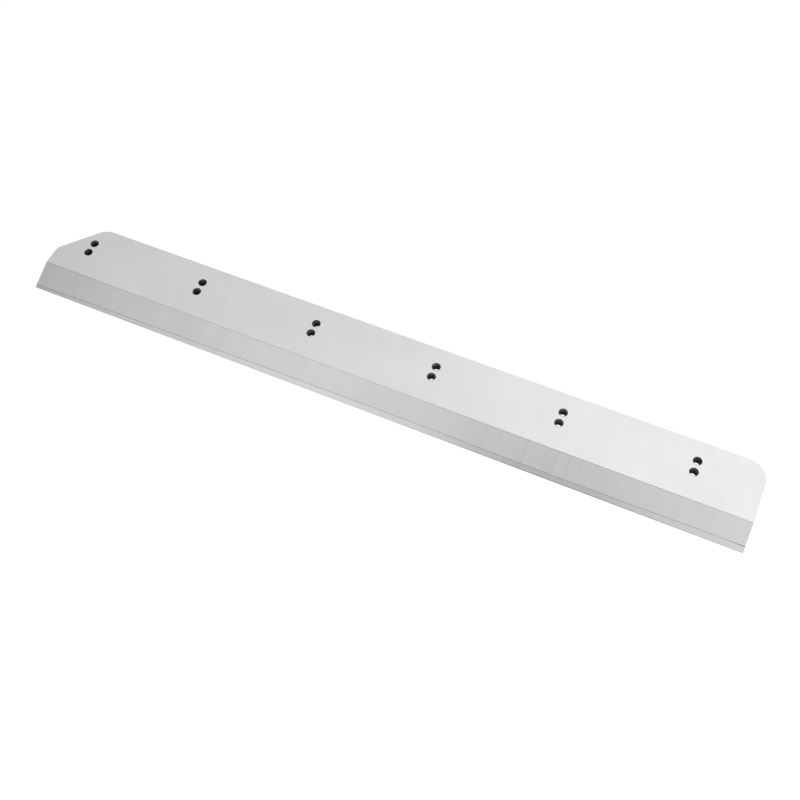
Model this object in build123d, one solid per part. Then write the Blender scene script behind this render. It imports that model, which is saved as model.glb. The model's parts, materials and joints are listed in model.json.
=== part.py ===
from build123d import *
import math
import os

# The knife of a guillotine paper cutter, lying on its flat back with the bevel up.
# X runs along the blade, Y from the cutting edge to the back edge, Z through the thickness.
# The origin is under the middle of the blade, on the flat back. All sizes are in millimetres.

# Ground bar
blade_length = 861.0
blade_width = 101.0
blade_thickness = 12.7
edge_break = 0.4

# Bevel, and the narrow honed facet along its front that ends in the cutting edge
bevel_angle = 22.0
hone_angle = 26.0
hone_width = 0.9

# Plan outline: the back corner is clipped at the left end and round at the right end
clip_along = 42.0
clip_across = 46.5
clip_back_radius = 22.0
clip_end_radius = 15.0
right_corner_radius = 22.0

# Tapped through holes for M10 screws, in pairs across the blade
pair_count = 6
pair_pitch = 150.0
left_end_to_first_pair = 39.0
edge_to_front_row = 63.0
row_spacing = 14.0
tap_drill_radius = 4.25
countersink_radius = 5.15

# High-speed-steel inlay, let into the flat back along the cutting side. The back is ground flat
# after the inlay is bonded in, which leaves it a little thinner at the left end.
inlay_width = 20.0
inlay_thickness_left = 1.9
inlay_thickness_right = 2.8

# Cutters run this far past the faces that they open
overrun = 1.0

left_end = -blade_length / 2
right_end = blade_length / 2
cutting_edge = -blade_width / 2
back_edge = blade_width / 2


def plan_outline():
    """The blade seen from above, from the cutting edge round by the right end."""
    corners_and_radii = [
        ((left_end, cutting_edge), 0),
        ((right_end, cutting_edge), 0),
        ((right_end, back_edge), right_corner_radius),
        ((left_end + clip_along, back_edge), clip_back_radius),
        ((left_end, back_edge - clip_across), clip_end_radius),
    ]
    corners = [corner for corner, _ in corners_and_radii]
    radii = [radius for _, radius in corners_and_radii]
    return make_face(FilletPolyline(*corners, radius=radii, close=True))


def profiled_plate():
    """A flat plate of the outline, its edges broken everywhere but along the cutting side."""
    plate = extrude(plan_outline(), amount=blade_thickness)
    rim = plate.faces().sort_by(Axis.Z)[0].edges() + plate.faces().sort_by(Axis.Z)[-1].edges()
    broken = rim.filter_by(lambda edge: edge.center().Y > cutting_edge + edge_break)
    return chamfer(broken, edge_break)


def bevelled_bar():
    """A straight bar with the section of the ground blade: flat back, bevel and honed facet."""
    hone_top = hone_width * math.sin(math.radians(hone_angle))
    hone_back = cutting_edge + hone_width * math.cos(math.radians(hone_angle))
    bevel_back = hone_back + (blade_thickness - hone_top) / math.tan(math.radians(bevel_angle))
    section = Polyline(
        (cutting_edge, 0),
        (back_edge, 0),
        (back_edge, blade_thickness),
        (bevel_back, blade_thickness),
        (hone_back, hone_top),
        close=True,
    )
    return extrude(Plane.YZ * make_face(section), amount=blade_length / 2, both=True)


def inlay_space():
    """The wedge-thin space along the cutting side that the inlay fills."""
    side = Polyline(
        (left_end, 0),
        (right_end, 0),
        (right_end, inlay_thickness_right),
        (left_end, inlay_thickness_left),
        close=True,
    )
    front = Plane.XZ.offset(-cutting_edge)
    return extrude(front * make_face(side), amount=-inlay_width)


def tapped_hole():
    """The space of one hole at the tap drill's size, countersunk at both faces of the blade."""
    lip = countersink_radius - tap_drill_radius
    half = Polyline(
        (0, -overrun),
        (countersink_radius + overrun, -overrun),
        (tap_drill_radius, lip),
        (tap_drill_radius, blade_thickness - lip),
        (countersink_radius + overrun, blade_thickness + overrun),
        (0, blade_thickness + overrun),
        close=True,
    )
    return revolve(Plane.XZ * make_face(half), Axis.Z)


def hole_centres():
    """Where the holes are drilled: the front row, then the back row, from left to right."""
    first_x = left_end + left_end_to_first_pair
    front_row = cutting_edge + edge_to_front_row
    rows = [front_row, front_row + row_spacing]
    return [(first_x + i * pair_pitch, y) for y in rows for i in range(pair_count)]


def make_carrier(blank):
    """The mild-steel body: the ground blank less the inlay's space and the tapped holes."""
    holes = Locations(*hole_centres()) * tapped_hole()
    return blank - inlay_space() - holes


def make_inlay(blank):
    """The high-speed-steel strip: what the ground blank has inside the inlay's space."""
    return blank & inlay_space()


os.makedirs("parts", exist_ok=True)
ground_blank = profiled_plate() & bevelled_bar()
pieces = {
    "carrier": make_carrier(ground_blank),
    "cutting_inlay": make_inlay(ground_blank),
}
for name, piece in pieces.items():
    export_step(piece, f"parts/{name}.step")
    print(name, "volume", round(piece.volume), "mm3, size", piece.bounding_box().size)
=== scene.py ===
# %% [markdown]
# # A guillotine knife on its flat back
#
# This notebook dresses the imported model of a paper cutter's blade for a studio picture. The frame
# is the drawing: it says how long, wide and thick the blade is, and where its holes are. Blender
# adds what a drawing leaves out, such as the marks of the grinding wheel, the fine line round the
# hard cutting strip, the threads in the holes, and the light.
#
# Blender works in metres, along the drawing's axes: X runs along the blade, Y from the cutting edge
# to the back edge, and Z up through the thickness. The first cell loads the frame.

# %% Load the frame
import json
import math

import bmesh
import bpy
from mathutils import Matrix, Vector


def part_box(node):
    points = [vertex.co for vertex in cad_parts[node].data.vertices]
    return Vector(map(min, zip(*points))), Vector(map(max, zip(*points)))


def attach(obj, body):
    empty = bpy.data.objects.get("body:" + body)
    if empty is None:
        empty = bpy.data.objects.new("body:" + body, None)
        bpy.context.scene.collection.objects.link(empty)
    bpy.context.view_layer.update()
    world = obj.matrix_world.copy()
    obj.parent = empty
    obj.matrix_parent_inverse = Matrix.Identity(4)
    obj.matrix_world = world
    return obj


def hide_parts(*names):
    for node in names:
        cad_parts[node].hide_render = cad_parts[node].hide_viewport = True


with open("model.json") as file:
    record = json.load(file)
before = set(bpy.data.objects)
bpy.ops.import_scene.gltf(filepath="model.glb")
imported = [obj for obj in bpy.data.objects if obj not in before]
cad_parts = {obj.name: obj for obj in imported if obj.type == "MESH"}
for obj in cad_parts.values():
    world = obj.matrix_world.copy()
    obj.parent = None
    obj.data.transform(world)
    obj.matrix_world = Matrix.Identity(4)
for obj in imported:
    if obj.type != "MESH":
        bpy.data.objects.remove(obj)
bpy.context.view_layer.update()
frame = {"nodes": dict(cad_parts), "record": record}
print("frame loaded:", sorted(frame["nodes"]))

# %% [markdown]
# ## Where everything is
#
# A knife like this is two pieces of steel. The carrier is mild steel, tough and easy to drill. The
# cutting inlay is a thin strip of high-speed steel let into the flat back along the cutting side,
# where it takes and keeps the edge. Their boxes in the frame give the outer sizes, and the three
# bolt patterns in the record give the twelve holes, so nothing here has to be fitted by eye.

# %% Read the sizes and the hole centres
mm = 0.001
_, carrier_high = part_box("carrier")
inlay_low, inlay_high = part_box("cutting_inlay")
left_end, right_end = inlay_low.x, inlay_high.x
cutting_edge, back_edge = inlay_low.y, carrier_high.y
rebate = inlay_high.y
thickness = carrier_high.z

bolt_patterns = [mount for mount in frame["record"]["mounts"] if mount["kind"] == "bolt_pattern"]
hole_centres = []
for pattern in bolt_patterns:
    middle = Vector(pattern["pos_m"])
    half_x = pattern["dims"]["spacing_x_mm"] * mm / 2
    half_y = pattern["dims"]["spacing_y_mm"] * mm / 2
    hole_centres += [(middle.x + i * half_x, middle.y + j * half_y) for i in (-1, 1) for j in (-1, 1)]
hole_radius = bolt_patterns[0]["dims"]["hole_r_mm"] * mm
print(f"blade {(right_end - left_end) / mm:.0f} x {(back_edge - cutting_edge) / mm:.0f} mm,"
      f" {thickness / mm:.1f} mm thick, {len(hole_centres)} holes")

# %% [markdown]
# ## The bevel and the seam
#
# The bevel is one flat slope from the top face down to the cutting edge. Its last millimetre is honed
# a little steeper, which is what a sharpener touches up between grinds. The slope is described by
# one function, so every face that ends on it agrees to the last digit.
#
# The seam is the top of the inlay, where it comes out on the bevel. In the photograph it comes down
# towards the left end, and rises and falls a little on the way. A strip let in straight would come
# to look like this once the flat back is ground until the blade lies flat. A few heights along the
# blade, read off the photograph, are enough to draw it, joined by a smooth curve.

# %% Describe the bevel and the seam
bevel_angle = math.radians(22)
hone_angle = math.radians(26)
hone_width = 0.9 * mm
hone_top = hone_width * math.sin(hone_angle)
hone_back = cutting_edge + hone_width * math.cos(hone_angle)


def bevel_at(height):
    """How far back the bevel is at a height."""
    return hone_back + (height - hone_top) / math.tan(bevel_angle)


crest = bevel_at(thickness)

# Heights of the seam above the flat back, in millimetres, by the distance along the blade
seam_heights = ((-431, 1.4), (-340, 2.0), (-240, 2.15), (-120, 2.5), (50, 2.66),
                (190, 2.45), (300, 2.5), (385, 2.8), (431, 2.7))


def seam_height(x):
    """The height of the seam, on a smooth curve through the heights above."""
    for (x0, z0), (x1, z1) in zip(seam_heights, seam_heights[1:]):
        if x <= x1 * mm:
            share = (x / mm - x0) / (x1 - x0)
            return (z0 + (z1 - z0) * share * share * (3 - 2 * share)) * mm
    return seam_heights[-1][1] * mm


station_count = 40
stations = [left_end + (right_end - left_end) * i / station_count for i in range(station_count + 1)]
seam = [(x, bevel_at(seam_height(x)), seam_height(x)) for x in stations]
print(f"bevel crest at Y {crest / mm:.2f} mm, seam {seam[0][2] / mm:.1f} to {seam[-1][2] / mm:.1f} mm high")

# %% [markdown]
# ## The outline in plan
#
# Seen from above, the blade is a long rectangle with two of its corners changed. The left back corner
# is clipped by a slanting cut with rounded ends, and the right back corner is a quarter circle. A
# rounded corner starts and ends where its arc touches the two straight sides, at the radius divided
# by the tangent of half the corner's angle.

# %% Draw the outline
clip_along, clip_across = 42 * mm, 46.5 * mm
clip_end_radius, clip_back_radius, right_corner_radius = 15 * mm, 22 * mm, 22 * mm


def rounded(before, corner, after, radius, steps=14):
    """The points of the arc that rounds a corner off."""
    back = (Vector(before) - Vector(corner)).normalized()
    ahead = (Vector(after) - Vector(corner)).normalized()
    half_angle = back.angle(ahead) / 2
    start = Vector(corner) + back * radius / math.tan(half_angle)
    centre = Vector(corner) + (back + ahead).normalized() * radius / math.sin(half_angle)
    turn = math.pi - 2 * half_angle
    spokes = [Matrix.Rotation(-turn * i / steps, 2) @ (start - centre) for i in range(steps + 1)]
    return [tuple(centre + spoke) for spoke in spokes]


corners = [
    (left_end, cutting_edge),
    (left_end, back_edge - clip_across),
    (left_end + clip_along, back_edge),
    (right_end, back_edge),
    (right_end, cutting_edge),
]
radii = (clip_end_radius, clip_back_radius, right_corner_radius)
outline = [point for i, radius in enumerate(radii) for point in rounded(*corners[i:i + 3], radius)]
print("outline behind the bevel:", len(outline), "points")

# %% [markdown]
# ## Closed bodies from a list of faces
#
# Both pieces have flat faces that meet at crisp edges, so the surest way to build them is face by
# face, each given by its corners. Corners at the same place are then welded into one, which closes
# the body, and Blender turns all the faces outwards. Every face also gets a finish, the number of
# the material that it will wear.

# %% Helpers that close a body
weld = 0.0005 * mm
finish_count = 9
FLAT, BEVEL, CREST, SIDE, THREAD, SINK, BROKEN, SEAM, HONE = range(finish_count)


def add_faces(body, faces):
    """Adds faces, given as (corners, finish), welds them to the body and turns it all outwards."""
    for face_corners, finish in faces:
        face = body.faces.new([body.verts.new(corner) for corner in face_corners])
        face.material_index = finish
    bmesh.ops.remove_doubles(body, verts=body.verts, dist=weld)
    bmesh.ops.recalc_face_normals(body, faces=body.faces)


def open_edges(body):
    """How many edges don't lie between exactly two faces. A closed body has none."""
    return sum(not edge.is_manifold for edge in body.edges)


print(f"corners closer than {weld / mm:.4f} mm are welded, and there are {finish_count} finishes")

# %% [markdown]
# ## The carrier as it leaves the grinder
#
# The carrier has a top face, a flat back that stops at the rebate for the inlay, the bevel down to
# the seam, the two ends, the wall round the back, and the roof and back wall of the rebate. The
# roof follows the seam, so it is a strip of narrow faces. The photograph's seam is darker over the
# last two centimetres at the right end, as if the joint had opened there, so there the roof stands a
# hair higher.

# %% Draw the roof of the rebate
joint_opening = 0.10 * mm
opening_length = 20 * mm


def roof_height(x):
    """The height of the rebate's roof: the seam's, and a hair more where the joint has opened."""
    return seam_height(x) + joint_opening * max(0, 1 - (right_end - x) / opening_length)


def joint_faces(line):
    """The roof from a line on the bevel to the rebate's wall, in narrow faces, and the wall itself."""
    back = [(x, rebate, z) for x, _, z in line]
    roof = [list(corners) for corners in zip(line, line[1:], back[1:], back)]
    wall = [*back, (right_end, rebate, 0), (left_end, rebate, 0)]
    return [(corners, SEAM) for corners in (*roof, wall)]


roof_front = [(x, bevel_at(roof_height(x)), roof_height(x)) for x in stations]
print(f"the joint stands open by {joint_opening / mm:.2f} mm at the right end")

# %% [markdown]
# The bevel is drawn as three strips. Just below its crest runs a darker line less than a millimetre
# wide, which is painted shade along the crest. A strip of its own lets that line wear its own
# finish.

# %% Build the carrier's faces
# How far down the bevel from the crest the line of painted shade starts and ends
line_start, line_end = 0.4 * mm, 1.1 * mm
line_heights = [thickness - distance * math.sin(bevel_angle) for distance in (line_start, line_end)]
line_head, line_foot = [(bevel_at(height), height) for height in line_heights]


def across_the_blade(upper, lower):
    """A strip of the bevel from end to end, between two lines given by their Y and Z."""
    return [(left_end, *upper), (right_end, *upper), (right_end, *lower), (left_end, *lower)]


def end_face(x, y):
    """One end of the carrier, from the rebate round to where the outline starts to turn."""
    roof = roof_height(x)
    slope = [(x, crest, thickness), (x, *line_head), (x, *line_foot), (x, bevel_at(roof), roof)]
    return [*slope, (x, rebate, roof), (x, rebate, 0), (x, y, 0), (x, y, thickness)]


top_rim = [(left_end, crest), *outline, (right_end, crest)]
back_rim = [(left_end, rebate), *outline, (right_end, rebate)]
carrier_faces = [
    ([(x, y, thickness) for x, y in top_rim], FLAT),
    ([(x, y, 0) for x, y in back_rim], FLAT),
    (across_the_blade((crest, thickness), line_head), BEVEL),
    (across_the_blade(line_head, line_foot), CREST),
    ([(left_end, *line_foot), (right_end, *line_foot), *reversed(roof_front)], BEVEL),
    (end_face(*outline[0]), SIDE),
    (end_face(*outline[-1]), SIDE),
    *joint_faces(roof_front),
]
for (x0, y0), (x1, y1) in zip(outline, outline[1:]):
    carrier_faces.append(([(x0, y0, 0), (x1, y1, 0), (x1, y1, thickness), (x0, y0, thickness)], SIDE))

carrier_body = bmesh.new()
add_faces(carrier_body, carrier_faces)
print("carrier blank:", len(carrier_body.faces), "faces,", open_edges(carrier_body), "open edges")

# %% [markdown]
# ## Broken edges
#
# No ground part leaves the shop with knife-sharp corners except where it is meant to cut. The rim of
# the blade has its edge broken by 0.4 mm all round the back and the ends, and at a distance that
# narrow round is what catches the light and draws the outline. The crest of the bevel is only
# touched with a stone.
#
# An edge is found by where its two ends are, or by the finish that begins there. Blender's bevel puts
# a few narrow flats in its place, and the smooth shading of the finished piece makes them look round.

# %% Helpers that find and break edges
edge_break = 0.4 * mm
crest_break = 0.2 * mm
seam_break = 0.15 * mm
round_segments = 3


def same(a, b):
    """True for two lengths that are equal, but for rounding."""
    return abs(a - b) < weld


def edges_where(body, test):
    """The edges whose two ends both pass a test."""
    return [edge for edge in body.edges if all(test(vert.co) for vert in edge.verts)]


def edges_into(body, finish):
    """The edges at which faces of one finish begin."""
    return [e for e in body.edges if sum(face.material_index == finish for face in e.link_faces) == 1]


def break_edges(body, edges, width, segments, finish):
    """Takes the sharpness off some edges, by a round of so many flat segments."""
    bmesh.ops.bevel(body, geom=edges, offset=width, offset_type="OFFSET", segments=segments,
                    profile=0.5, affect="EDGES", clamp_overlap=True, material=finish)


print("edge breaks in mm:", [round(width / mm, 2) for width in (edge_break, crest_break, seam_break)])

# %% [markdown]
# The rim goes first and the crest second. The last edges to be taken back are those that meet the
# inlay, by 0.15 mm. The two pieces then leave a fine groove between them, which shows as the seam.
# They go last because they end on the rounds that the first two calls make.

# %% Break the carrier's edges
def on_top(place):
    """True for a place on the top face."""
    return same(place.z, thickness)


def on_flat_back(place):
    """True for a place on the flat back."""
    return same(place.z, 0)


def on_crest(place):
    """True for a place on the crest of the bevel."""
    return on_top(place) and same(place.y, crest)


def on_rebate_rim(place):
    """True for a place where the flat back stops at the rebate."""
    return on_flat_back(place) and same(place.y, rebate)


level_edges = edges_where(carrier_body, on_top) + edges_where(carrier_body, on_flat_back)
left_for_later = edges_where(carrier_body, on_crest) + edges_where(carrier_body, on_rebate_rim)
rim_edges = [edge for edge in level_edges if edge not in left_for_later]
break_edges(carrier_body, rim_edges, edge_break, round_segments, BROKEN)

# The rounds have shortened the crest, so its edge is looked up again
break_edges(carrier_body, edges_where(carrier_body, on_crest), crest_break, round_segments, BROKEN)

break_edges(carrier_body, edges_into(carrier_body, SEAM), seam_break, segments=1, finish=SEAM)
print("carrier with its edges broken:", len(carrier_body.faces), "faces")

# %% [markdown]
# ## Windows for the holes
#
# Each of the two flat faces is taken out, and the space between its border and twelve circles is
# filled with triangles again. The circles have as many corners as the walls of the holes, so the
# walls will weld onto them.

# %% Open the windows
mouth_radius = 5.15 * mm
hole_corners = 48


def ring(centre_x, centre_y, radius, height):
    """The corners of a level circle."""
    angles = [2 * math.pi * i / hole_corners for i in range(hole_corners)]
    return [(centre_x + radius * math.cos(a), centre_y + radius * math.sin(a), height) for a in angles]


def open_windows(body, face):
    """Fills a flat face again, with round windows for the mouths of the holes."""
    height, finish, normal = face.verts[0].co.z, face.material_index, face.normal.copy()
    border = list(face.edges)
    bmesh.ops.delete(body, geom=[face], context="FACES_ONLY")
    for x, y in hole_centres:
        verts = [body.verts.new(place) for place in ring(x, y, mouth_radius, height)]
        border += [body.edges.new((verts[i - 1], verts[i])) for i in range(hole_corners)]
    filled = bmesh.ops.triangle_fill(body, use_beauty=True, use_dissolve=False, edges=border, normal=normal)
    for part in filled["geom"]:
        if isinstance(part, bmesh.types.BMFace):
            part.material_index = finish


# The two largest faces are the top face and the flat back
flat_faces = sorted(carrier_body.faces, key=lambda f: f.calc_area())[-2:]
for flat_face in flat_faces:
    open_windows(carrier_body, flat_face)
print("windows in each flat face:", len(hole_centres))

# %% [markdown]
# ## Drilled, countersunk and tapped
#
# Each hole is taken to be drilled through, countersunk at both faces and cut with an M10 thread. A
# boolean with a modelled tap would do it, but it leaves ragged slivers where the thread runs out
# into the countersink. Here the wall of a hole is a net of small faces laid along the thread's own
# slope. A corner of the net stands as far out as the thread or the countersink there, whichever is
# wider, and the net is clipped at the two faces of the blade.

# %% Helpers for the wall of a hole
thread_pitch = 1.5 * mm
thread_depth = 0.75 * mm

# The thread's profile over one pitch: how far along the pitch, and how deep, as shares
crest_shares = ((0.0, 0), (0.15, 0), (0.3, 0))
root_shares = ((0.585, 1), (0.65, 1), (0.715, 1))
thread_profile = (*crest_shares, (0.395, 1 / 3), (0.49, 2 / 3), *root_shares, (0.81, 2 / 3), (0.905, 1 / 3))


def net_corner(turn, share, depth, corner):
    """One corner of a hole's net, about the hole's own axis, and whether the countersink makes it."""
    around = corner / hole_corners
    height = min(max((turn + share + around) * thread_pitch, 0), thickness)
    sunk = mouth_radius - min(height, thickness - height)
    radius = max(hole_radius + depth * thread_depth, sunk)
    angle = 2 * math.pi * around
    return radius * math.cos(angle), radius * math.sin(angle), height, radius == sunk


def tapped_wall():
    """The faces of one hole's wall, about its own axis."""
    turns = range(-1, math.ceil(thickness / thread_pitch) + 1)
    rows = [(turn, share, depth) for turn in turns for share, depth in thread_profile]
    faces = []
    for low, high in zip(rows, rows[1:]):
        for i in range(hole_corners):
            four = [net_corner(*low, i), net_corner(*low, i + 1)]
            four += [net_corner(*high, i + 1), net_corner(*high, i)]
            heights = [place[2] for place in four]
            if max(heights) > 0 and min(heights) < thickness:
                finish = SINK if all(place[3] for place in four) else THREAD
                faces.append(([place[:3] for place in four], finish))
    return faces


print(f"thread of {thread_pitch / mm:.1f} mm pitch, with {hole_corners} corners in a turn")

# %% [markdown]
# The wall is worked out once and set down twelve times. Welding closes the body again, and the
# count of open edges says whether it did.

# %% Drill the carrier
wall = tapped_wall()
walls = []
for hole_x, hole_y in hole_centres:
    for wall_corners, finish in wall:
        walls.append(([(hole_x + x, hole_y + y, z) for x, y, z in wall_corners], finish))
add_faces(carrier_body, walls)
print("carrier with its holes:", len(carrier_body.faces), "faces,", open_edges(carrier_body), "open edges")

# %% [markdown]
# ## The cutting inlay
#
# The inlay is what the carrier leaves out: a strip with the honed facet and the lowest part of the
# bevel along its front. Its cutting edge is the one edge of the whole knife that nothing takes back.

# %% Build the inlay
def inlay_end(x):
    """One end of the inlay, from the seam down over the hone and round to the rebate."""
    roof = seam_height(x)
    front = [(x, bevel_at(roof), roof), (x, hone_back, hone_top), (x, cutting_edge, 0)]
    return [*front, (x, rebate, 0), (x, rebate, roof)]


inlay_faces = [
    (across_the_blade((cutting_edge, 0), (rebate, 0)), FLAT),
    (across_the_blade((cutting_edge, 0), (hone_back, hone_top)), HONE),
    ([(left_end, hone_back, hone_top), (right_end, hone_back, hone_top), *reversed(seam)], BEVEL),
    (inlay_end(left_end), SIDE),
    (inlay_end(right_end), SIDE),
    *joint_faces(seam),
]
inlay_body = bmesh.new()
add_faces(inlay_body, inlay_faces)

back_edges = edges_where(inlay_body, on_flat_back)
end_rims = [edge for edge in back_edges if same(edge.verts[0].co.x, edge.verts[1].co.x)]
break_edges(inlay_body, end_rims, edge_break, round_segments, BROKEN)
break_edges(inlay_body, edges_into(inlay_body, SEAM), seam_break, segments=1, finish=SEAM)
print("inlay:", len(inlay_body.faces), "faces,", open_edges(inlay_body), "open edges")

# %% [markdown]
# ## Nodes without the clutter
#
# A material is a small network of nodes. One helper adds a node, sets its options, and gives each of
# its inputs either a fixed value or a link from another node, so a network reads like a sentence.
# Everything on the blade is metal, so one helper makes that too.

# %% Helpers for materials
def node(tree, kind, inputs=None, **settings):
    """Adds a node. Each input is a value, or a socket of another node to link from."""
    made = tree.nodes.new("ShaderNode" + kind)
    for name, value in settings.items():
        setattr(made, name, value)
    for name, value in (inputs or {}).items():
        if isinstance(value, bpy.types.NodeSocket):
            tree.links.new(value, made.inputs[name])
        else:
            made.inputs[name].default_value = value
    return made


def math_node(tree, operation, *values):
    """The result of a sum, a product or the like, of values or sockets."""
    return node(tree, "Math", dict(enumerate(values)), operation=operation).outputs[0]


def new_material(name):
    """An empty material and its node tree."""
    material = bpy.data.materials.new(name)
    material.use_nodes = True
    material.node_tree.nodes.clear()
    return material, material.node_tree


def cover_with_metal(tree, grey, roughness, **more):
    """Makes the surface a metal of one grey. More of the shader's inputs are given by their names."""
    colour = node(tree, "CombineColor", {"Red": grey, "Green": grey, "Blue": grey}).outputs[0]
    inputs = {"Base Color": colour, "Roughness": roughness, "Metallic": 1.0, **more}
    metal = node(tree, "BsdfPrincipled", inputs)
    node(tree, "OutputMaterial", {"Surface": metal.outputs[0]})


print("helpers for materials: node, math_node, new_material and cover_with_metal")

# %% [markdown]
# ## The lay of the grinding marks
#
# A grinding wheel leaves thousands of fine parallel scratches, called the lay. To draw them, a noise
# is stretched along the scratches and squeezed across them. So each ground face first needs its own
# two directions.
#
# - The flats are ground under the rim of a big cup wheel while the blade travels along X. Every mark
#   is an arc of the same wheel, so the distance across the marks is X less the arc's own X.
# - The bevel is ground straight across, from the crest down to the edge. The carrier and the inlay
#   are ground together, so the marks run on over the seam.
# - The ends and the back wall are linished, which leaves scratches along the blade's rim.

# %% Directions across and along the marks
wheel_radius = 260 * mm
wheel_centre_y = -70 * mm


def place_on_object(tree):
    """The sockets of a point's X, Y and Z on the object."""
    coordinates = node(tree, "TexCoord")
    return node(tree, "SeparateXYZ", {"Vector": coordinates.outputs["Object"]}).outputs


def arcs_of_the_wheel(tree):
    """Across and along the marks of a cup wheel."""
    x, y, _ = place_on_object(tree)
    from_centre = math_node(tree, "SUBTRACT", y, wheel_centre_y)
    square = math_node(tree, "MULTIPLY", from_centre, from_centre)
    reach = math_node(tree, "SQRT", math_node(tree, "SUBTRACT", wheel_radius ** 2, square))
    return math_node(tree, "SUBTRACT", x, reach), y


def straight_across(tree):
    """Across and along marks that run straight over the blade."""
    x, y, _ = place_on_object(tree)
    return x, y


def along_the_rim(tree):
    """Across and along marks that run round the rim, on upright walls."""
    x, y, z = place_on_object(tree)
    return z, math_node(tree, "ADD", x, y)


print(f"the cup wheel's rim has a radius of {wheel_radius / mm:.0f} mm")

# %% [markdown]
# ## Scratches, passes, bands and clouds
#
# Up close the finish is built from three widths of mark. The finest are the scratches themselves, a
# fifth of a millimetre apart: they tilt the surface a little and change how sharply it reflects.
# Marks one or two millimetres apart are passes where the wheel cut harder. They leave the surface
# wavy by a few microns, which shows most where the reflection changes from light to dark. Broad soft
# bands come from the way the wheel sparks out. Over all this lie faint long clouds, such as a rag
# leaves when it wipes the blade.
#
# All four are one noise, squeezed to a width and stretched to a length.

# %% Helpers for the marks
# How wide and how long each kind of mark is
scratch_size = (0.22 * mm, 20 * mm)
pass_size = (1.5 * mm, 90 * mm)
band_size = (16 * mm, 160 * mm)
cloud_size = (40 * mm, 90 * mm)

# Where in the noise the clouds start. It was picked to lay them much as in the photograph.
clouds_along, clouds_across = 1625 * mm, -659 * mm


def marks(tree, across, along, width, length):
    """A noise from 0 to 1, squeezed to a width across the marks and stretched to a length along them."""
    stretched = node(tree, "CombineXYZ", {
        "X": math_node(tree, "DIVIDE", across, width),
        "Y": math_node(tree, "DIVIDE", along, length),
    })
    inputs = {"Vector": stretched.outputs[0], "Scale": 1.0, "Detail": 1.0}
    return node(tree, "TexNoise", inputs, noise_dimensions="2D").outputs["Fac"]


def between(tree, share, low, high):
    """Spreads a noise over a range. Most of a noise lies from 0.3 to 0.7."""
    inputs = {"Value": share, "From Min": 0.3, "From Max": 0.7, "To Min": low, "To Max": high}
    return node(tree, "MapRange", inputs, clamp=True).outputs["Result"]


widths = [size[0] / mm for size in (scratch_size, pass_size, band_size, cloud_size)]
print("widths of the marks, from scratches to clouds:", [round(width, 2) for width in widths], "mm")

# %% [markdown]
# ## Ground steel
#
# The steel is a metal with no colour of its own beyond a neutral grey. Its anisotropy stretches
# reflections across the marks, which is why a ground blade shows wide soft bands and never a mirror
# image. Values that are the same all over stay on the shader's own sockets.

# %% The ground steel finish
micron = 0.001 * mm

# How much scratches and passes each change the roughness, either way, for a micron of scratch
roughness_per_micron = 0.01


def ground_steel(name, tone, lay, roughness, scratch=2.0, wave=5.0, contrast=0.02, clouds=0.016):
    """Steel with the marks of grinding.

    tone is its grey, and lay gives the marks' directions. scratch and wave are the heights of the
    scratches and the passes in microns. contrast and clouds are the shares by which the marks and the
    wiping change the grey.
    """
    material, tree = new_material(name)
    across, along = lay(tree)
    scratches = marks(tree, across, along, *scratch_size)
    passes = marks(tree, across, along, *pass_size)
    bands = marks(tree, across, along, *band_size)
    x, y, _ = place_on_object(tree)
    x, y = math_node(tree, "ADD", x, clouds_along), math_node(tree, "ADD", y, clouds_across)
    wiped = marks(tree, y, x, *cloud_size)

    lines = math_node(tree, "ADD", between(tree, passes, -0.5, 0.5), between(tree, bands, -0.5, 0.5))
    marked = math_node(tree, "MULTIPLY_ADD", lines, tone * contrast, tone)
    grey = math_node(tree, "MULTIPLY", marked, between(tree, wiped, 1 - clouds, 1 + clouds))
    spread = roughness_per_micron * scratch
    from_scratches = between(tree, scratches, -spread, spread)
    from_passes = between(tree, passes, -spread, spread)
    polish = math_node(tree, "ADD", from_scratches, from_passes)
    waves = math_node(tree, "MULTIPLY", passes, wave)
    height = math_node(tree, "MULTIPLY_ADD", scratches, scratch, waves)
    bump = node(tree, "Bump", {"Height": height, "Strength": 1.0, "Distance": micron})
    along_x = node(tree, "CombineXYZ", {"X": 1.0})
    cover_with_metal(tree, grey, math_node(tree, "ADD", polish, roughness), Anisotropic=0.5,
                     Normal=bump.outputs["Normal"], Tangent=along_x.outputs[0])
    return material


print(f"scratches one micron deep change the roughness by {roughness_per_micron} either way")

# %% [markdown]
# ## Stoned edges, countersinks and solder
#
# Broken edges are stoned by hand, so they have no lay and only a faint mottle. A countersink is cut
# by a drill, and its dark grey is painted shade in the mouth of the hole. The solder that holds the
# inlay shows in the groove as a thin dark grey line. One network does for all three, with a
# different grey and polish.

# %% The mottled finish
mottle_in_tone, mottle_in_roughness = 0.1, 0.05


def worked_steel(name, tone, roughness, mottle_size):
    """Steel or solder with a faint mottle in its tone and its polish."""
    material, tree = new_material(name)
    coordinates = node(tree, "TexCoord")
    inputs = {"Vector": coordinates.outputs["Object"], "Scale": 1 / mottle_size}
    mottle = node(tree, "TexNoise", inputs).outputs["Fac"]
    grey = between(tree, mottle, tone * (1 - mottle_in_tone), tone * (1 + mottle_in_tone))
    low, high = roughness - mottle_in_roughness, roughness + mottle_in_roughness
    cover_with_metal(tree, grey, between(tree, mottle, low, high))
    return material


print(f"the mottle changes the tone by {mottle_in_tone:.0%} either way")
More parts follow.
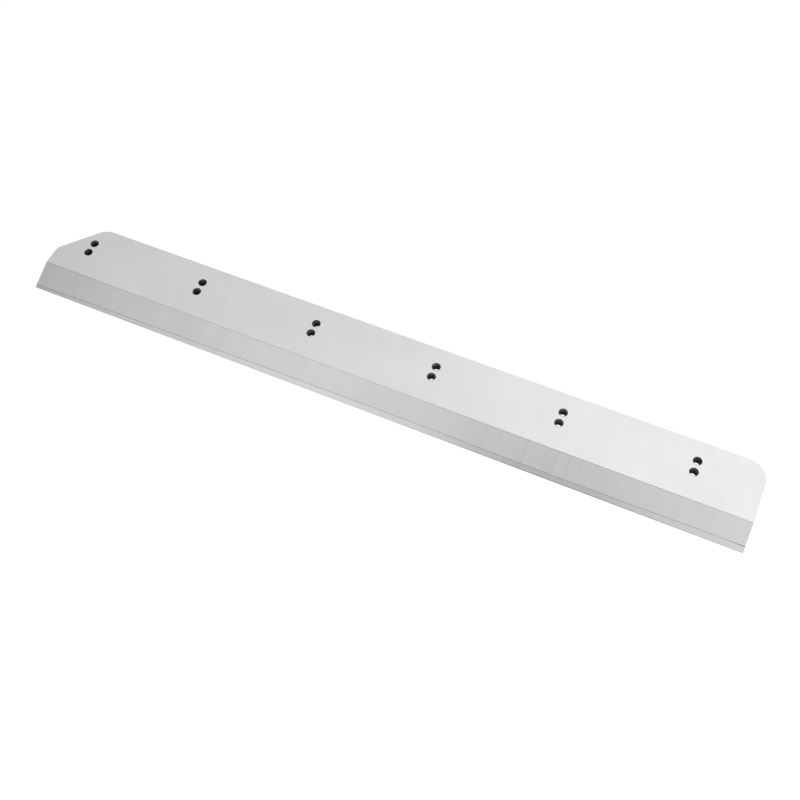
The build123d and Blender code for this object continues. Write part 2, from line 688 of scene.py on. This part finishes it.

# %% [markdown]
# ## Threads with painted shade
#
# In the photograph the walls of the holes are dark and uneven. Their tone is painted shade, darkest
# at the bottom of a hole and rising smoothly towards the top face. A noise that is the same all the
# way down a hole makes lighter and darker patches of it round the wall. Each of the twelve holes
# gets patches of its own, because the noise goes by the place on the blade.

# %% The threads' finish
def soft_step(tree, value, start, end, at_start=0.0, at_end=1.0):
    """Goes smoothly from at_start to at_end as a value goes from start to end."""
    inputs = {"Value": value, "From Min": start, "From Max": end, "To Min": at_start, "To Max": at_end}
    return node(tree, "MapRange", inputs, interpolation_type="SMOOTHSTEP").outputs["Result"]


# The heights between which the painted shade fades, the size of the patches, and the shares they go between
shade_fades_from, shade_fades_to = 0.45 * thickness, 0.97 * thickness
patch_size = 4 * mm
darkest_patch, palest_patch = 0.2, 1.8


def tapped_steel(name, deep_shade_tone, mouth_tone, roughness):
    """Threads with painted shade, darkest at the bottom and lightest at the mouth."""
    material, tree = new_material(name)
    x, y, z = place_on_object(tree)
    shade_by_depth = soft_step(tree, z, shade_fades_from, shade_fades_to, deep_shade_tone, mouth_tone)
    around = node(tree, "CombineXYZ", {"X": x, "Y": y})
    patches = node(tree, "TexNoise", {"Vector": around.outputs[0], "Scale": 1 / patch_size}).outputs["Fac"]
    grey = math_node(tree, "MULTIPLY", shade_by_depth, between(tree, patches, darkest_patch, palest_patch))
    cover_with_metal(tree, grey, roughness)
    return material


print(f"threads get paler from {shade_fades_from / mm:.1f} to {shade_fades_to / mm:.1f} mm up")

# %% [markdown]
# ## One finish for each kind of face
#
# The carrier is a shade lighter than the harder steel of the inlay, as it looks in the photograph,
# and the inlay takes a finer polish from the same wheel. The hone is finer still and leaves hardly any
# waves. The ends and the back wall are duller, since nothing runs against them.

# %% Choose the finishes
carrier_tone, inlay_tone = 0.74, 0.705
rim_share, crest_shade_share = 0.92, 0.82
carrier_rim_tone, inlay_rim_tone = carrier_tone * rim_share, inlay_tone * rim_share
# The strip below the crest is darker: painted shade along the crest
crest_shade_tone = carrier_tone * crest_shade_share
stoned_edge = worked_steel("stoned_edge", carrier_tone, roughness=0.22, mottle_size=3 * mm)
solder = worked_steel("solder_line", tone=0.12, roughness=0.55, mottle_size=1.5 * mm)
carrier_finishes = {
    FLAT: ground_steel("carrier_flat", carrier_tone, arcs_of_the_wheel, roughness=0.30),
    BEVEL: ground_steel("carrier_bevel", carrier_tone, straight_across, roughness=0.25,
                        scratch=1.25, wave=4.6, contrast=0.03),
    SIDE: ground_steel("carrier_rim", carrier_rim_tone, along_the_rim, roughness=0.40),
    # The crest strip's darker grey is painted shade
    CREST: ground_steel("crest_shade_strip", crest_shade_tone, straight_across, roughness=0.25, scratch=0.8),
    # The threads' tone is painted shade, darkest at the bottom of each hole
    THREAD: tapped_steel("thread_painted_shade", deep_shade_tone=0.008, mouth_tone=0.10, roughness=0.40),
    # The countersinks' dark grey is painted shade in the mouths of the holes
    SINK: worked_steel("countersink", tone=0.07, roughness=0.38, mottle_size=2 * mm),
    BROKEN: stoned_edge,
    SEAM: solder,
}
inlay_finishes = {
    FLAT: ground_steel("inlay_flat", inlay_tone, arcs_of_the_wheel, roughness=0.28),
    BEVEL: ground_steel("inlay_bevel", inlay_tone, straight_across, roughness=0.18,
                        scratch=1.0, wave=4.6, contrast=0.03),
    SIDE: ground_steel("inlay_rim", inlay_rim_tone, along_the_rim, roughness=0.34),
    BROKEN: stoned_edge,
    SEAM: solder,
    HONE: ground_steel("honed_facet", inlay_tone, straight_across, roughness=0.16,
                       scratch=0.3, wave=2.0, contrast=0.01),
}
print("materials:", ", ".join(sorted(material.name for material in bpy.data.materials)))

# %% [markdown]
# ## From bodies to pieces
#
# A piece is a mesh with its materials, told to Blender. Each one takes the place of its drawing's
# node, and rides on the one body that the blade has. Flat faces stay flat shaded. Only what is round
# in the steel is shaded smooth, which on the walls is told by the small faces that make a rounded
# corner, and an edge sharper than 40 degrees, such as a thread's, still shows.

# %% Make the two pieces
# On the walls only the faces of the rounded corners are smaller than this
largest_curved_face = (8 * mm) ** 2
sharp_angle = math.radians(40)


def make_piece(name, body, finishes, cad_node):
    """Turns a body into a piece that takes a node's place."""
    for face in body.faces:
        curved_wall = face.material_index == SIDE and face.calc_area() < largest_curved_face
        face.smooth = face.material_index in (THREAD, SINK, BROKEN) or curved_wall
    for edge in body.edges:
        edge.smooth = edge.calc_face_angle(0) < sharp_angle
    mesh = bpy.data.meshes.new(name)
    for finish in range(finish_count):
        mesh.materials.append(finishes.get(finish, stoned_edge))
    body.to_mesh(mesh)
    body.free()
    piece = bpy.data.objects.new(name, mesh)
    bpy.context.scene.collection.objects.link(piece)
    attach(piece, "root")
    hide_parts(cad_node)
    print(name, "has", len(mesh.polygons), "faces")


make_piece("ground_carrier", carrier_body, carrier_finishes, "carrier")
make_piece("ground_inlay", inlay_body, inlay_finishes, "cutting_inlay")

# %% [markdown]
# ## The table it lies on
#
# The floor is a pale matt sheet. In a picture for a catalogue the sheet is pure white, and that comes
# from how the camera sees it: for camera rays, and for rays that a shiny surface sends out, the
# sheet glows at just under white, and its matt part adds the rest where light falls on it. Under the
# blade that rest is missing, which leaves a faint shadow. All other rays find a plain matt sheet, so
# no extra light falls on the steel. Seen from below the sheet is clear, to show the flat back.

# %% The sheet's finish
sheet_tone = 0.8
sheet_glow = 0.94
shadow_tone = 0.12


def plain_matt(tree, tone):
    """A matt grey."""
    return node(tree, "BsdfDiffuse", {"Color": (tone, tone, tone, 1)}).outputs[0]


def seen_by_camera_or_gloss(tree):
    """1 for rays that show the background: from the camera, off gloss, or through glass."""
    path = node(tree, "LightPath").outputs
    gloss = math_node(tree, "ADD", path["Is Glossy Ray"], path["Is Transmission Ray"])
    return math_node(tree, "MINIMUM", math_node(tree, "ADD", path["Is Camera Ray"], gloss), 1.0)


def white_sheet():
    """White where it is seen, matt grey for the light that it passes on, and clear from below."""
    material, tree = new_material("white_sheet")
    glow = node(tree, "Emission", {"Color": (1, 1, 1, 1), "Strength": sheet_glow})
    bright = node(tree, "AddShader", {0: glow.outputs[0], 1: plain_matt(tree, shadow_tone)})
    seen = seen_by_camera_or_gloss(tree)
    sheet = node(tree, "MixShader", {0: seen, 1: plain_matt(tree, sheet_tone), 2: bright.outputs[0]})
    clear = node(tree, "BsdfTransparent")
    from_below = node(tree, "NewGeometry").outputs["Backfacing"]
    both = node(tree, "MixShader", {0: from_below, 1: sheet.outputs[0], 2: clear.outputs[0]})
    node(tree, "OutputMaterial", {"Surface": both.outputs[0]})
    return material


print(f"the sheet glows at {sheet_glow} and sends back {shadow_tone:.0%} of the light that falls on it")

# %% [markdown]
# The sheet is one square of eight metres, so it fills the picture from the photograph's angle. It
# lies a hair under the blade, because two faces in exactly the same place flicker.

# %% Lay the floor
floor_size = 8.0
floor_gap = 0.2 * mm
floor_mesh = bpy.data.meshes.new("floor")
floor_body = bmesh.new()
bmesh.ops.create_grid(floor_body, x_segments=1, y_segments=1, size=floor_size / 2)
floor_body.to_mesh(floor_mesh)
floor_body.free()
floor_mesh.materials.append(white_sheet())
floor = bpy.data.objects.new("floor", floor_mesh)
floor.location.z = -floor_gap
bpy.context.scene.collection.objects.link(floor)
print("floor:", floor_size, "m square")

# %% [markdown]
# ## The light
#
# Bare metal looks like whatever stands round it, so lighting steel means choosing what it reflects.
# The studio is painted on the world, by the direction in which a ray leaves the blade: to the right,
# to the back, and up. From the camera the top face mirrors the wall behind the blade, and the bevel,
# which leans 22 degrees towards the camera, mirrors the ceiling.
#
# - The wall behind is brightest on the right, where it is a little over white. Towards the left it
#   is grey, and darker lower down, and it ends far out on the left.
# - The ceiling is a wide panel that fades out to the left, with a fainter one added on the right.
# - A dark gap to the left of that fainter panel makes the shaded stretch on the right half of the
#   bevel.
#
# Soft steps describe all of it. Their ends and levels were tuned until the grey of the render ran
# along the blade as it does in the photograph, so the blade's long soft bands are in the light.

# %% The wall behind and the ceiling
world = bpy.data.worlds.new("studio")
world.use_nodes = True
bpy.context.scene.world = world
sky = world.node_tree
sky.nodes.clear()


def blend(share, first, second):
    """The first value where the share is 0, the second where it is 1."""
    return node(sky, "Mix", {0: share, 2: first, 3: second}, data_type="FLOAT").outputs[0]


def band_between(value, rise, fall):
    """1 between two soft steps, a rising one and a falling one, and 0 outside them."""
    falling = soft_step(sky, value, *fall, at_start=1.0, at_end=0.0)
    return math_node(sky, "MULTIPLY", soft_step(sky, value, *rise), falling)


direction = node(sky, "SeparateXYZ", {"Vector": node(sky, "TexCoord").outputs["Generated"]}).outputs
to_right, to_back, up = direction["X"], direction["Y"], direction["Z"]

bright_wall = 1.217
grey_wall = soft_step(sky, to_back, 0.38, 0.62, at_start=0.935, at_end=0.665)
wall = blend(soft_step(sky, to_right, -0.31, -0.07), grey_wall, bright_wall)
left_end_of_wall = soft_step(sky, to_right, -0.64, -0.56, at_start=0.2, at_end=1.0)
wall_behind = math_node(sky, "MULTIPLY", wall, left_end_of_wall)

left_panel = soft_step(sky, to_right, -0.714, -0.273, at_start=0.30, at_end=1.011)
right_panel = soft_step(sky, to_right, 0.15, 0.67, at_start=0.0, at_end=0.253)
gap = band_between(to_right, (-0.185, -0.10), (-0.283, 0.157))
gap_depth = 0.997
panels = math_node(sky, "ADD", left_panel, right_panel)
ceiling = math_node(sky, "MULTIPLY_ADD", gap, -gap_depth, panels)
walls = blend(soft_step(sky, to_back, 0.0, 0.3), ceiling, wall_behind)
print("studio: a wall behind and two ceiling panels")

# %% [markdown]
# ## The dark things in the studio, and what each ray sees
#
# Three darker things give the blade its lines. Between the ceiling and the wall a strip is left,
# which only the rounded crest of the bevel turns towards the camera. In front, high up, the camera
# and its stand take some light away from the insides of the holes. And a narrow post beside the
# camera shows in the honed facet, which is steeper than the bevel, and parts the two on the right.
#
# Low down the studio is the same all round, so that the blade is well lit from its sides too: white
# at the height of the floor, where the two run into each other, and a pale grey above. The camera,
# metal and glass all see this studio where they look past the floor, and the rays that matt things
# send out find one even fill. The white behind the blade in the picture is the floor's.

# %% Light the studio
strip_share, post_share = 0.6, 0.75
even_fill = 0.8


def darkened(light, where, share):
    """Takes a share off the light where there is something dark."""
    return math_node(sky, "MULTIPLY", light, math_node(sky, "MULTIPLY_ADD", where, -share, 1.0))


strip = band_between(to_back, (-0.05, 0.10), (0.10, 0.25))
camera_stand = soft_step(sky, to_back, -0.60, -0.35, at_start=0.4, at_end=1.0)
beside_camera = band_between(to_right, (-0.11, -0.05), (-0.04, 0.02))
post = math_node(sky, "MULTIPLY", beside_camera, soft_step(sky, to_back, -0.34, -0.40))

in_front = darkened(camera_stand, post, post_share)
high_up = math_node(sky, "MULTIPLY", darkened(walls, strip, strip_share), in_front)
low_down = soft_step(sky, up, 0.0, 0.35, at_start=1.0, at_end=0.85)
studio = blend(soft_step(sky, up, 0.40, 0.65), low_down, high_up)

path = node(sky, "LightPath").outputs
seen = blend(path["Is Diffuse Ray"], studio, even_fill)
glow = node(sky, "Background", {"Color": (1, 1, 1, 1), "Strength": seen})
node(sky, "OutputWorld", {"Surface": glow.outputs[0]})
print("world:", world.name, "with", len(sky.nodes), "nodes")

# %% [markdown]
# ## The camera
#
# The camera stands in front of the blade, towards its right end, and looks down on it at almost 60
# degrees. Its place was found by lining the drawing up with the photograph: the straight edges, the
# ends and the twelve holes all have to land where the picture has them. It is held a little off
# level, as a camera in the hand is.

# %% Set up the camera
camera_place = Vector((301.5, -564.5, 1028.4)) * mm
camera_aim = Vector((35.3, -22.15, 0)) * mm
camera_roll = math.radians(-2.59)
nearest_seen = 50 * mm

# A camera's own two sizes are in millimetres in Blender
film_width = 36
focal_length = 48.156

camera_data = bpy.data.cameras.new("camera")
camera_data.sensor_width = film_width
camera_data.lens = focal_length
camera_data.clip_start = nearest_seen
camera = bpy.data.objects.new("camera", camera_data)
look = (camera_aim - camera_place).to_track_quat("-Z", "Y").to_matrix()
turned = look @ Matrix.Rotation(camera_roll, 3, "Z")
camera.matrix_world = Matrix.Translation(camera_place) @ turned.to_4x4()
bpy.context.scene.collection.objects.link(camera)
bpy.context.scene.camera = camera
bpy.context.scene.view_settings.view_transform = "Standard"
print("camera right", [round(v, 4) for v in turned.col[0]], "up", [round(v, 4) for v in turned.col[1]])
